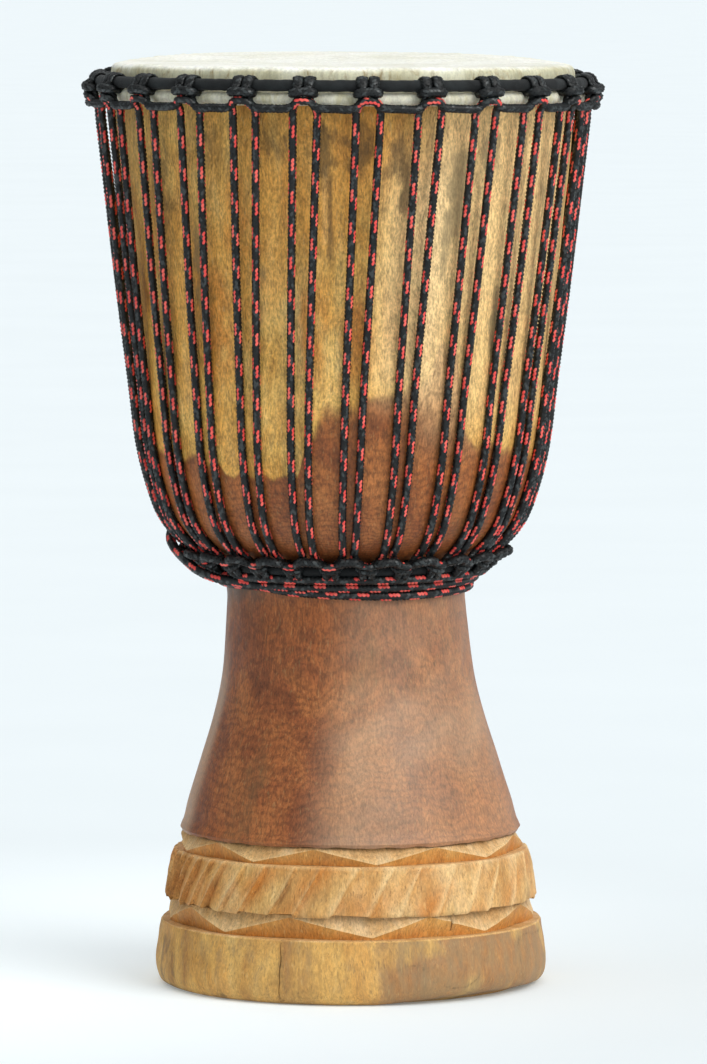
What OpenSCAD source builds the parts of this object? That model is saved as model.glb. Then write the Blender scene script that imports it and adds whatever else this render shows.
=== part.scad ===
// Rope-tuned goblet drum, 12 in head, 24 in tall.
// Frame: origin at the middle of the foot, on the surface it stands on, +Z up the drum's axis.
// The front, where the carved foot and the spare turns of rope face the player, is -Y.

/* [Shell] */
// Height of the playing surface above the floor
drum_height = 601; // [596:1:606]
// Radius of the wooden shell just under the head
head_r = 149.3; // [148:0.1:150.5]
// Radius of the waist, where the bowl meets the stem
waist_r = 77.3; // [75:0.1:78]
// Radius of the stem at its lower edge, above the carving
stem_r = 111.4; // [110:0.1:112]
// Largest radius of the foot band
foot_r = 127.9; // [126:0.1:130]
// Radius of the hole through the waist
throat_r = 58; // [52:1:62]
// Thickness of the bowl's wall
wall = 14; // [11:0.5:16]

/* [Carving] */
// Number of peaks in each zigzag band
zigzag_count = 9; // [6:1:14]
// Depth of the zigzag relief
zigzag_depth = 3.4; // [1.5:0.1:4]
// Number of slanted flutes round the raised band
flute_count = 46; // [30:2:54]
// Lean of the flutes from the vertical, in degrees
flute_lean = 28; // [10:1:35]
// Depth of the flutes
flute_depth = 1.7; // [0.6:0.1:2.2]

/* [Head] */
// Thickness of the skin
skin_t = 1; // [0.8:0.1:1.4]
// Radius of the rod the flesh hoop is bent from
hoop_rod_r = 3; // [2.5:0.1:3]
// Radius of the flesh hoop, to the middle of its rod
hoop_r = 154.8; // [154.4:0.1:155]

/* [Rings] */
// Radius of the rod both tuning rings are bent from
ring_rod_r = 3; // [2.5:0.1:3]
// Outer radius of the cloth wound on the rings
wrap_r = 4.1; // [3.8:0.1:4.2]
// Radius of the crown ring, to the middle of its rod
crown_r = 159.5; // [159:0.1:160]
// Radius of the bottom ring, to the middle of its rod
base_ring_r = 89.2; // [89:0.1:89.6]

/* [Rope] */
// Number of loops on each ring, and of lacing pairs
loops = 25; // [24:1:26]
// Radius of the tight lacing rope
lace_r = 2.4; // [2:0.1:2.4]
// How far the lacing leans round the drum from top to bottom, in degrees
lace_skew = -4.5; // [-6:0.5:0]
// Radius of the slack spare rope
spare_r = 2.8; // [2.4:0.1:2.9]

/* [Hidden] */
$fn = 96;

pitch = 360 / loops;
// Direction of the crown knot just right of the front
knot_a = -84.1;
// Heights that hang from the head
crown_z = drum_height - 11;
hoop_z = drum_height - 21;
// Height of the bottom ring
base_z = 275.8;
// Edges of the carved bands, from the floor
foot_top = 42;
flute_bot = 57;
flute_top = 88.5;
stem_bot = 100;

// ---------- curves ----------

// Catmull-Rom blend of four values
function cr(a, b, c, d, t) =
    0.5 * (2 * b + (c - a) * t + (2 * a - 5 * b + 4 * c - d) * t * t
    + (3 * b - a - 3 * c + d) * t * t * t);

// Open smooth line through the points of p, with s steps a span
function smooth_line(p, s) = [
    for (i = [0 : len(p) - 2], k = [0 : s - 1])
        cr(p[max(i - 1, 0)], p[i], p[i + 1], p[min(i + 2, len(p) - 1)], k / s),
    p[len(p) - 1]
];

// Control point k of a pattern that repeats every step degrees
function ctl(c, k, step) =
    let (n = len(c), w = floor(k / n)) c[k - w * n] + [w * step, 0, 0, 0];

// One repeat of a rope's route as [x, y, z, radius], from points [degrees, r, z, radius]
function route(c, step, s) = [
    for (k = [0 : len(c) - 1], j = [0 : s - 1])
        let (q = cr(ctl(c, k - 1, step), ctl(c, k, step), ctl(c, k + 1, step),
                    ctl(c, k + 2, step), j / s))
        [q[1] * cos(q[0]), q[1] * sin(q[0]), q[2], q[3]]
];

function unit(v) = v / norm(v);
function xyz(p) = [p[0], p[1], p[2]];
function turned(v, a) = [v[0] * cos(a) - v[1] * sin(a), v[0] * sin(a) + v[1] * cos(a), v[2]];
function flat(v, t) = unit(v - (v * t) * t);

// Normals carried along a route without twisting
function carried(t, n0) = [
    for (i = 0, n = flat(n0, t[0]); i < len(t); i = i + 1, n = i < len(t) ? flat(n, t[i]) : n) n
];

// A rope that closes on itself after `times` repeats of the route p, turned by step each time
module closed_rope(p, step, times, sides) {
    m = len(p);
    q = [for (i = [-1 : m + 1])
            i < 0 ? turned(xyz(p[m - 1]), -step)
            : i < m ? xyz(p[i]) : turned(xyz(p[i - m]), step)];
    t = [for (i = [1 : m + 1]) unit(q[i + 1] - q[i - 1])];
    n = carried(t, xyz(p[0]) - [0, 0, p[0][2]]);
    first = turned(n[0], step);
    twist = atan2(cross(first, n[m]) * t[m], first * n[m]);
    pts = [
        for (k = [0 : times - 1], i = [0 : m - 1], j = [0 : sides - 1])
            let (b = cross(t[i], n[i]), a = 360 * j / sides - twist * i / m)
            turned(xyz(p[i]) + p[i][3] * (cos(a) * n[i] + sin(a) * b), k * step)
    ];
    total = times * m;
    polyhedron(pts, [
        for (i = [0 : total - 1], j = [0 : sides - 1], h = [0, 1])
            let (a = i * sides, b = ((i + 1) % total) * sides, j2 = (j + 1) % sides)
            h == 0 ? [a + j, a + j2, b + j2] : [a + j, b + j2, b + j]
    ], convexity = 10);
}

// A rope with two flat ends along the route p
module open_rope(p, sides) {
    m = len(p);
    q = [for (v = p) xyz(v)];
    t = [for (i = [0 : m - 1]) unit(q[min(i + 1, m - 1)] - q[max(i - 1, 0)])];
    n = carried(t, [0, 0, 1]);
    pts = [for (i = [0 : m - 1], j = [0 : sides - 1])
            let (b = cross(t[i], n[i]), a = 360 * j / sides)
            q[i] + p[i][3] * (cos(a) * n[i] + sin(a) * b)];
    polyhedron(pts, [
        for (i = [0 : m - 2], j = [0 : sides - 1], h = [0, 1])
            let (a = i * sides, b = a + sides, j2 = (j + 1) % sides)
            h == 0 ? [a + j, a + j2, b + j2] : [a + j, b + j2, b + j],
        [for (j = [sides - 1 : -1 : 0]) j],
        [for (j = [0 : sides - 1]) (m - 1) * sides + j]
    ], convexity = 10);
}

// ---------- shell ----------

// Outside of the stem and bowl, from the stem's lower edge to the head
stem_line = [
    [stem_r - 1.6, stem_bot], [stem_r - 0.3, stem_bot + 0.6], [stem_r, stem_bot + 2.5],
    [stem_r - 2, 107], [stem_r - 5.3, 120], [stem_r - 13.4, 146], [stem_r - 21.6, 172],
    [83.2, 198], [79.9, 224], [waist_r + 0.3, 247], [waist_r, 256], [78.6, 264],
    [82, 272.5], [85.4, 278.6], [90, 282.6], [97, 286.6], [105, 293], [113.6, 303],
    [120, 316.5], [126.2, 335.5], [130.3, 355], [133.8, 381], [137.2, 420],
    [142.3, 480], [146.9, 530], [head_r - 0.3, 556], [head_r, 575],
    [head_r, drum_height - 7], [head_r - 0.8, drum_height - 3.6],
    [head_r - 3, drum_height - 1.6], [head_r - 7, drum_height - skin_t]
];

// Inside of the shell, from the head down to the floor
hollow_line = [
    [head_r - 11, drum_height - 2.5], [head_r - 13.6, drum_height - 8],
    [head_r - wall, drum_height - 20], [head_r - wall - 2, 550], [head_r - wall - 7, 480],
    [head_r - wall - 13, 410], [head_r - wall - 19, 360], [104, 325], [90, 302], [72, 282],
    [61, 268], [throat_r, 255], [throat_r + 1, 235], [66, 190], [76, 140], [88, 90],
    [96, 45], [99, 10], [100, 0]
];

// Outside of the foot band, from the floor up to the zigzag above it
foot_line = [
    [foot_r - 9, 0], [foot_r - 4.5, 1.6], [foot_r - 1.6, 5.5], [foot_r - 0.3, 10.5],
    [foot_r, 16], [foot_r - 1.2, 27], [foot_r - 3.2, 38], [foot_r - 4.6, foot_top - 0.6],
    [foot_r - 6, foot_top]
];

// Radius of the two zigzag bands at their ridges, at the lower and upper edge
zig_low = [119.4, 118.2];
zig_high = [112.2, 110.2];

module shell_blank() {
    rotate_extrude($fn = 180) polygon(concat(
        foot_line,
        [[zig_low[0], foot_top], [zig_low[1], flute_bot], [121, flute_bot]],
        [[120.3, 64], [118.6, 74], [116.4, 84], [115.2, flute_top - 0.7], [114, flute_top]],
        [[zig_high[0], flute_top], [zig_high[1], stem_bot]],
        smooth_line(stem_line, 3),
        smooth_line(hollow_line, 3)
    ));
}

// What a chisel takes off one zigzag band: a ring outside a surface that is highest along the zigzag
module zigzag_chips(z0, z1, r0, r1, phase) {
    side = 4;
    n = zigzag_count * 2 * side;
    // Height of the ridge at step i, as a share of the band
    function share(i) = let (u = (i % (2 * side)) / side) 0.08 + 0.84 * (u < 1 ? u : 2 - u);
    function at(i, r, z) = let (a = phase + 360 * i / n) [r * cos(a), r * sin(a), z];
    // Five points a step: low edge, ridge, high edge on the surface, then two outside
    pts = [for (i = [0 : n - 1]) let (s = share(i), zr = z0 + (z1 - z0) * s, big = 8)
        each [
            at(i, r0 - zigzag_depth * s, z0),
            at(i, r0 + (r1 - r0) * s - 0.05, zr),
            at(i, r1 - zigzag_depth * (1 - s), z1),
            at(i, max(r0, r1) + big, z1),
            at(i, max(r0, r1) + big, z0)
        ]];
    polyhedron(pts, [
        for (i = [0 : n - 1], e = [0 : 4], h = [0, 1])
            let (a = i * 5, b = ((i + 1) % n) * 5, e2 = (e + 1) % 5)
            h == 0 ? [a + e, b + e, b + e2] : [a + e, b + e2, a + e2]
    ], convexity = 6);
}

// One slanted flute, with a steep left wall and a long shallow right one
module flute_cut() {
    mid = (flute_bot + flute_top) / 2;
    translate([118.9 - flute_depth, 0, mid]) rotate([0, -10.5, 0]) rotate([-flute_lean, 0, 0])
        rotate([0, 0, 12]) translate([0, -9, -22]) cube([9, 9, 44]);
}

module shell() {
    color("#a8703c") difference() {
        shell_blank();
        zigzag_chips(foot_top, flute_bot, zig_low[0], zig_low[1], -90);
        zigzag_chips(flute_top, stem_bot, zig_high[0], zig_high[1], -80.6);
        for (i = [0 : flute_count - 1]) rotate([0, 0, i * 360 / flute_count]) flute_cut();
    }
}

// ---------- head ----------

module skin_head() {
    r = head_r + 0.3;
    z = drum_height;
    color("#ddd6bd") rotate_extrude($fn = 180) union() {
        // The playing surface, the turn over the edge and the collar
        polygon([
            [0, z], [0, z - skin_t + 0.06], [r - 7, z - skin_t + 0.06], [r - 3, z - 1.25],
            [r - 0.5, z - 3.1], [r, z - 6.6], [r, hoop_z - 1], [r + skin_t + 1, hoop_z - 1],
            [r + skin_t, hoop_z + 3], [r + skin_t, z - 6.2], [r + 0.4, z - 2.2],
            [r - 2.2, z - 0.4], [r - 6, z]
        ]);
        // The fold that holds the flesh hoop
        difference() {
            translate([hoop_r, hoop_z]) circle(r = hoop_rod_r + 1.25, $fn = 40);
            translate([hoop_r, hoop_z]) circle(r = hoop_rod_r + 0.05, $fn = 40);
        }
    }
}

module rod_ring(r, z, rod) {
    translate([0, 0, z]) rotate_extrude($fn = 144) translate([r, 0]) circle(r = rod, $fn = 32);
}

module ring_wrap(r, z) {
    translate([0, 0, z]) rotate_extrude($fn = 144) translate([r, 0]) difference() {
        circle(r = wrap_r, $fn = 36);
        circle(r = ring_rod_r + 0.05, $fn = 36);
    }
}

module flesh_hoop() { color("#8f8f8a") rod_ring(hoop_r, hoop_z, hoop_rod_r); }
module crown_ring() { color("#6f7072") rod_ring(crown_r, crown_z, ring_rod_r); }
module crown_ring_wrap() { color("#17191b") ring_wrap(crown_r, crown_z); }
module bottom_ring() { color("#6f7072") rod_ring(base_ring_r, base_z, ring_rod_r); }
module bottom_ring_wrap() { color("#17191b") ring_wrap(base_ring_r, base_z); }

// ---------- ropes ----------
// Half of each route is written as [mm along the ring, mm out from it, mm up from it, radius];
// the other half is its mirror.

// Crown knot: from the middle of the loop on the left, up behind the bar, over the ring from
// the front, down its back, out under it and along the bar to the middle
crown_half = [
    [-20, 5.4, -16, 2.7], [-12, 5.4, -16, 2.7], [-6.6, 4.8, -15.6, 2.5],
    [-3.6, 2.7, -11.2, 1.9], [-3, 3.6, -5, 1.8], [-3.6, 6.3, 0.4, 2.3], [-3.8, 4.2, 4.9, 2.3],
    [-3.8, -0.4, 6.5, 2.3], [-4, -5, 4.2, 2.2], [-4.6, -6.4, -0.6, 2], [-6, -4, -5, 1.6],
    [-7.4, 0.4, -5.9, 1.6], [-8.6, 5.2, -5.6, 2.1], [-6, 7.6, -5, 2.4]
];

// The same knot upside down on the bottom ring, pulled tighter, its loops leaning outwards
base_half = [
    [-11.3, 18, 9.8, 2.6], [-7.6, 17.6, 9.2, 2.5], [-3.4, 12.4, 7, 1.8],
    [-2.2, 6.2, 3.4, 1.3], [-2.4, 5.4, -1.4, 1.3], [-3, 2.6, -5.2, 1.6], [-3, -2.4, -5.2, 1.5],
    [-3.4, -5.6, -0.8, 1.3], [-4.4, -3.2, 4.5, 1.3],
    [-5, 1.4, 5.4, 1.3], [-5.6, 6.4, 3, 1.5], [-3.2, 8.1, -1.6, 1.6]
];

// Turns a half route into one whole repeat in [degrees, r, z, radius] round a ring
function whole_knot(half, r, z, mid, a) =
    let (n = len(half), k = 180 / (PI * r),
         full = concat(half, [mid], [for (i = [n - 1 : -1 : 1])
             [-half[i][0], half[i][1], half[i][2], half[i][3]]]))
    [for (p = full) [a + p[0] * k, r + p[1], z + p[2], p[3]]];

module crown_loop_rope() {
    a = knot_a;
    c = whole_knot(crown_half, crown_r, crown_z, [0, 7.7, -4.8, 2.5], 0);
    color("#1b1d1f") closed_rope(
        route([for (p = c) [p[0] + a, p[1], p[2], p[3]]], pitch, 1), pitch, loops, 5);
}

module bottom_loop_rope() {
    c = whole_knot(base_half, base_ring_r, base_z, [0, 8.3, -2.2, 1.6], 0);
    color("#1b1d1f") closed_rope(
        route([for (p = c) [p[0] + knot_a + lace_skew + pitch / 2, p[1], p[2], p[3]]], pitch, 1),
        pitch, loops, 5);
}

// Strand of lacing on the right of a knot, top to bottom: [share of the lean, r, z]
strand = [
    [0, 159.6, 574], [0.02, 158.9, 566], [0.2, 152.9, 514], [0.45, 145, 448],
    [0.66, 137.9, 394], [0.78, 132.6, 352], [0.86, 126.2, 326], [0.92, 118.6, 306],
    [0.97, 109.4, 293.6], [1, 101.8, 286.8]
];

module lacing_rope() {
    // Half gap between the two strands of a pair, in degrees, top and bottom
    gt = 2.95;
    gb = 2.15;
    n = len(strand);
    down = [for (p = strand)
        [lace_skew * p[0] + gt + (gb - gt) * p[0], p[1], p[2], lace_r]];
    up = [for (i = [n - 1 : -1 : 0]) let (p = strand[i])
        [pitch + lace_skew * p[0] - gt - (gb - gt) * p[0], p[1], p[2], lace_r]];
    mid = pitch / 2 + lace_skew;
    c = concat(
        [[0, crown_r + 7.9, crown_z - 10.2, lace_r], [1.7, crown_r + 7.4, crown_z - 10.2, lace_r],
         [3.2, crown_r + 2.9, crown_z - 11, lace_r]],
        down,
        [[mid - 3.6, 98.9, 280.6, lace_r], [mid - 1.4, 101, 277.2, lace_r - 0.2],
         [mid + 1.4, 101, 277.2, lace_r - 0.2], [mid + 3.6, 98.9, 280.6, lace_r]],
        up,
        [[pitch - 3.2, crown_r + 2.9, crown_z - 11, lace_r],
         [pitch - 1.7, crown_r + 7.4, crown_z - 10.2, lace_r]]
    );
    color("#2a1c1e") closed_rope(
        route([for (p = c) [p[0] + knot_a, p[1], p[2], p[3]]], pitch, 1), pitch, loops, 6);
}

// Spare length of the lacing rope: it comes down the left side over the bottom loops, then
// winds three times round the waist under the ring. [degrees, r, z]
spare_line = [
    [-222, 104, 304], [-212, 110.5, 302.5], [-200, 113.8, 299.5], [-190, 113.8, 295.5],
    [-180, 113.4, 291], [-172, 111.8, 286], [-164, 107.4, 279], [-157, 103.4, 273.4],
    [-150, 98, 269.6], [-141, 90, 267.4], [-131, 84, 265], [-118, 81, 262.4],
    [-104, 80.5, 261], [-88, 80.4, 260], [-65, 80.4, 258.6], [-40, 80.4, 259.6],
    [-10, 80.5, 261.2], [30, 80.6, 261.2], [75, 80.8, 261.6], [120, 81.1, 262.6],
    [165, 81.6, 264], [210, 82, 265.6], [240, 82, 266.3], [270, 82, 266.2], [300, 82, 265.4],
    [330, 82, 266], [360, 82.3, 267], [400, 82.6, 267.6], [445, 82.9, 268], [490, 83.2, 268.8],
    [530, 83.4, 270], [570, 83.2, 271.4], [600, 83, 272], [630, 83, 271.8], [660, 83, 271.2],
    [690, 83.2, 271.8], [715, 83.6, 272.4], [740, 84, 272.8], [770, 84.2, 273]
];

module spare_rope() {
    color("#2a1c1e") open_rope(
        [for (p = smooth_line(spare_line, 2)) [p[1] * cos(p[0]), p[1] * sin(p[0]), p[2], spare_r]],
        8);
}

shell();
skin_head();
flesh_hoop();
crown_ring();
crown_ring_wrap();
crown_loop_rope();
lacing_rope();
bottom_loop_rope();
bottom_ring();
bottom_ring_wrap();
spare_rope();
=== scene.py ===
"""Looks of a rope-tuned goblet drum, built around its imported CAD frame.

Lengths are millimetres until a mesh is made. Directions round the drum are phi, in degrees from the front (-Y),
positive towards +X."""

import math

import bpy
import numpy as np
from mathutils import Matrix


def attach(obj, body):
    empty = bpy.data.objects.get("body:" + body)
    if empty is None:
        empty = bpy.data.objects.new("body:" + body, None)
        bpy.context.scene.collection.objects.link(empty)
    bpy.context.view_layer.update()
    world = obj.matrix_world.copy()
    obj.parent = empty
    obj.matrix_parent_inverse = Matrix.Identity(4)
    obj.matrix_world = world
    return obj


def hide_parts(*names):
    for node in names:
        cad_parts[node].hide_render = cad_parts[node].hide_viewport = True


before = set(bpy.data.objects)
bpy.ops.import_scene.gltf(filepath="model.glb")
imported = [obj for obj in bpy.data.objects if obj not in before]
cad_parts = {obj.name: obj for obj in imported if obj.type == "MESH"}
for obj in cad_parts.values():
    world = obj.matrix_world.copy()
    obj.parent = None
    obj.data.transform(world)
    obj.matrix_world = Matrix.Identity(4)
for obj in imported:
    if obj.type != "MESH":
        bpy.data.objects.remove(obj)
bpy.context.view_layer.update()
D2R = math.pi / 180
KNOT = 5.9  # phi of the crown knot just right of the front
LOOPS = 25
PITCH = 360 / LOOPS
SKEW = -4.5


# ---------------------------------------------------------------- numbers
def smooth(x):
    x = np.clip(x, 0, 1)
    return x * x * (3 - 2 * x)


def ripple(phi, z, seed, kmax=8, shortest=30.0, n=26):
    """Smooth random relief from -1 to 1 or so, which closes on itself round the drum."""
    r = np.random.default_rng(seed)
    out = np.zeros(np.broadcast(phi, z).shape)
    for _ in range(n):
        k = int(r.integers(0, kmax + 1))
        m = r.uniform(-1, 1) * 2 * math.pi / shortest
        out = out + np.cos(k * phi * D2R + m * z + r.uniform(0, 2 * math.pi))
    return out / math.sqrt(n / 2) / 1.6


def around(phi, centre):
    """Signed difference of directions, from -180 to 180."""
    return (phi - centre + 180) % 360 - 180


def spline(points, closed=False, step=0.5):
    """A smooth line through points (x, y, z, ...), evenly spaced by about step."""
    p = np.asarray(points, float)
    if closed:
        p = np.vstack([p, p[:1]])
    d = np.maximum(np.linalg.norm(np.diff(p[:, :3], axis=0), axis=1), 1e-6) ** 0.6
    s = np.diff(p, axis=0) / d[:, None]
    m = np.empty_like(p)
    w = d[:-1] / (d[:-1] + d[1:])
    m[1:-1] = s[:-1] * (1 - w)[:, None] + s[1:] * w[:, None]
    if closed:
        w0 = d[-1] / (d[-1] + d[0])
        m[0] = m[-1] = s[-1] * (1 - w0) + s[0] * w0
    else:
        m[0], m[-1] = s[0], s[-1]
    fine = []
    for i in range(len(p) - 1):
        t = np.linspace(0, 1, 14, endpoint=False)[:, None]
        fine.append(
            (2 * t**3 - 3 * t**2 + 1) * p[i]
            + (t**3 - 2 * t**2 + t) * d[i] * m[i]
            + (3 * t**2 - 2 * t**3) * p[i + 1]
            + (t**3 - t**2) * d[i] * m[i + 1]
        )
    fine = np.vstack([*fine, p[-1:]])
    long = np.concatenate([[0], np.cumsum(np.linalg.norm(np.diff(fine[:, :3], axis=0), axis=1))])
    count = max(3, int(round(long[-1] / step)))
    at = np.linspace(0, long[-1], count + 1)
    out = np.stack([np.interp(at, long, fine[:, k]) for k in range(fine.shape[1])], 1)
    return (out[:-1] if closed else out), long[-1]


def profile(points, step):
    """(r, z) points of a smooth outline, spaced by about step."""
    p = np.array([[r, 0, z] for r, z in points], float)
    q, _ = spline(p, False, step)
    return q[:, [0, 2]]


def polar(phi, r, z):
    phi, r, z = np.broadcast_arrays(phi, r, z)
    return np.stack([r * np.sin(phi * D2R), -r * np.cos(phi * D2R), z], -1)


def drift(v):
    """The carved shell isn't quite straight: the bowl sits a little to the left of the foot, and the head leans by 0.3 degrees."""
    v = v.copy()
    v[:, 0] += np.interp(v[:, 2], [0, 60, 120, 185, 250, 310, 360], [2.9, 2.9, 2.5, 1.5, 0, -2.2, -2.4])
    high = smooth((v[:, 2] - 380) / 180)
    v[:, 2] += (5.2 * smooth(v[:, 1] / 150) - 0.005 * v[:, 0]) * high
    return v


# ---------------------------------------------------------------- meshes
def mesh_object(name, verts, faces, mats, index=None, smooth_shade=True, sharp=None, colour=None):
    """faces is a list of integer arrays, one for each number of corners."""
    me = bpy.data.meshes.new(name)
    verts = drift(np.asarray(verts, float).reshape(-1, 3)) * 0.001
    loops = np.concatenate([f.ravel() for f in faces]).astype(np.int32)
    total = np.concatenate([np.full(len(f), f.shape[1]) for f in faces]).astype(np.int32)
    start = np.concatenate([[0], np.cumsum(total)[:-1]]).astype(np.int32)
    me.vertices.add(len(verts))
    me.vertices.foreach_set("co", verts.astype(np.float32).ravel())
    me.loops.add(len(loops))
    me.loops.foreach_set("vertex_index", loops)
    me.polygons.add(len(total))
    me.polygons.foreach_set("loop_start", start)
    me.polygons.foreach_set("loop_total", total)
    for m in mats:
        me.materials.append(m)
    if index is not None:
        me.polygons.foreach_set("material_index", np.asarray(index, np.int32))
    me.polygons.foreach_set("use_smooth", np.full(len(total), smooth_shade))
    me.update(calc_edges=True)
    if sharp is not None:
        me.set_sharp_from_angle(angle=sharp * D2R)
    for label, values in (colour or {}).items():
        a = me.attributes.new(label, "FLOAT_COLOR", "POINT")
        a.data.foreach_set("color", values.astype(np.float32).ravel())
    ob = bpy.data.objects.new(name, me)
    bpy.context.scene.collection.objects.link(ob)
    return ob


def place(ob, node):
    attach(ob, "root")
    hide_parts(node)
    return ob


def grid_faces(rows, cols, wrap_rows=True, wrap_cols=True, flip=False):
    i = np.arange(rows if wrap_rows else rows - 1)
    j = np.arange(cols if wrap_cols else cols - 1)
    a, b = np.meshgrid(i, j, indexing="ij")
    a2, b2 = (a + 1) % rows, (b + 1) % cols
    q = np.stack([a * cols + b, a * cols + b2, a2 * cols + b2, a2 * cols + b], -1).reshape(-1, 4)
    return q[:, ::-1] if flip else q


# ---------------------------------------------------------------- materials
class Tree:
    """Short ways to add shader nodes."""

    def __init__(self, name):
        self.m = bpy.data.materials.new(name)
        self.m.use_nodes = True
        self.t = self.m.node_tree
        self.b = next(n for n in self.t.nodes if n.type == "BSDF_PRINCIPLED")

    def put(self, socket, value):
        if isinstance(value, bpy.types.NodeSocket):
            self.t.links.new(value, socket)
        elif isinstance(value, (tuple, list)) and len(value) == 3 and socket.type == "RGBA":
            socket.default_value = (*value, 1)
        else:
            socket.default_value = value

    def node(self, kind, **inputs):
        n = self.t.nodes.new("ShaderNode" + kind)
        for k, v in inputs.items():
            self.put(n.inputs[k], v)
        return n

    def scaled(self, v, s):
        n = self.node("Mapping", Vector=v)
        n.inputs["Scale"].default_value = s
        return n.outputs[0]

    def noise(self, v, scale, detail=3.0, rough=0.55, distort=0.0):
        n = self.node("TexNoise", Vector=v, Scale=scale, Detail=detail, Roughness=rough, Distortion=distort)
        return n.outputs["Fac"]

    def math(self, op, a, b=0.0, c=0.0, clamp=False):
        n = self.t.nodes.new("ShaderNodeMath")
        n.operation = op
        n.use_clamp = clamp
        for k, v in enumerate((a, b, c)):
            self.put(n.inputs[k], v)
        return n.outputs[0]

    def ramp(self, fac, *stops):
        n = self.node("ValToRGB", Fac=fac)
        e = n.color_ramp.elements
        while len(e) < len(stops):
            e.new(0.5)
        for k, (at, colour) in enumerate(stops):
            e[k].position = at
            e[k].color = (*colour, 1) if len(colour) == 3 else colour
        return n.outputs[0]

    def step(self, fac, low, high):
        n = self.t.nodes.new("ShaderNodeMapRange")
        n.interpolation_type = "SMOOTHSTEP"
        for k, v in (("Value", fac), ("From Min", low), ("From Max", high)):
            self.put(n.inputs[k], v)
        return n.outputs[0]

    def mix(self, fac, a, b, mode="MIX"):
        n = self.t.nodes.new("ShaderNodeMix")
        n.data_type = "RGBA"
        n.blend_type = mode
        self.put(n.inputs["Factor"], fac)
        self.put(n.inputs[6], a)
        self.put(n.inputs[7], b)
        return n.outputs[2]

    def bump(self, height, strength, distance, normal=None):
        n = self.node("Bump", Height=height, Strength=strength, Distance=distance)
        if normal is not None:
            self.put(n.inputs["Normal"], normal)
        return n.outputs[0]


def srgb(r, g, b, gain=1.0):
    def one(c):
        c /= 255
        return (c / 12.92 if c <= 0.04045 else ((c + 0.055) / 1.055) ** 2.4) * gain

    return tuple(one(c) for c in (r, g, b))


def grey(v):
    return (v, v, v)


WOOD = 1.13  # how much lighter the wood is than it looks in this light


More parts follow.
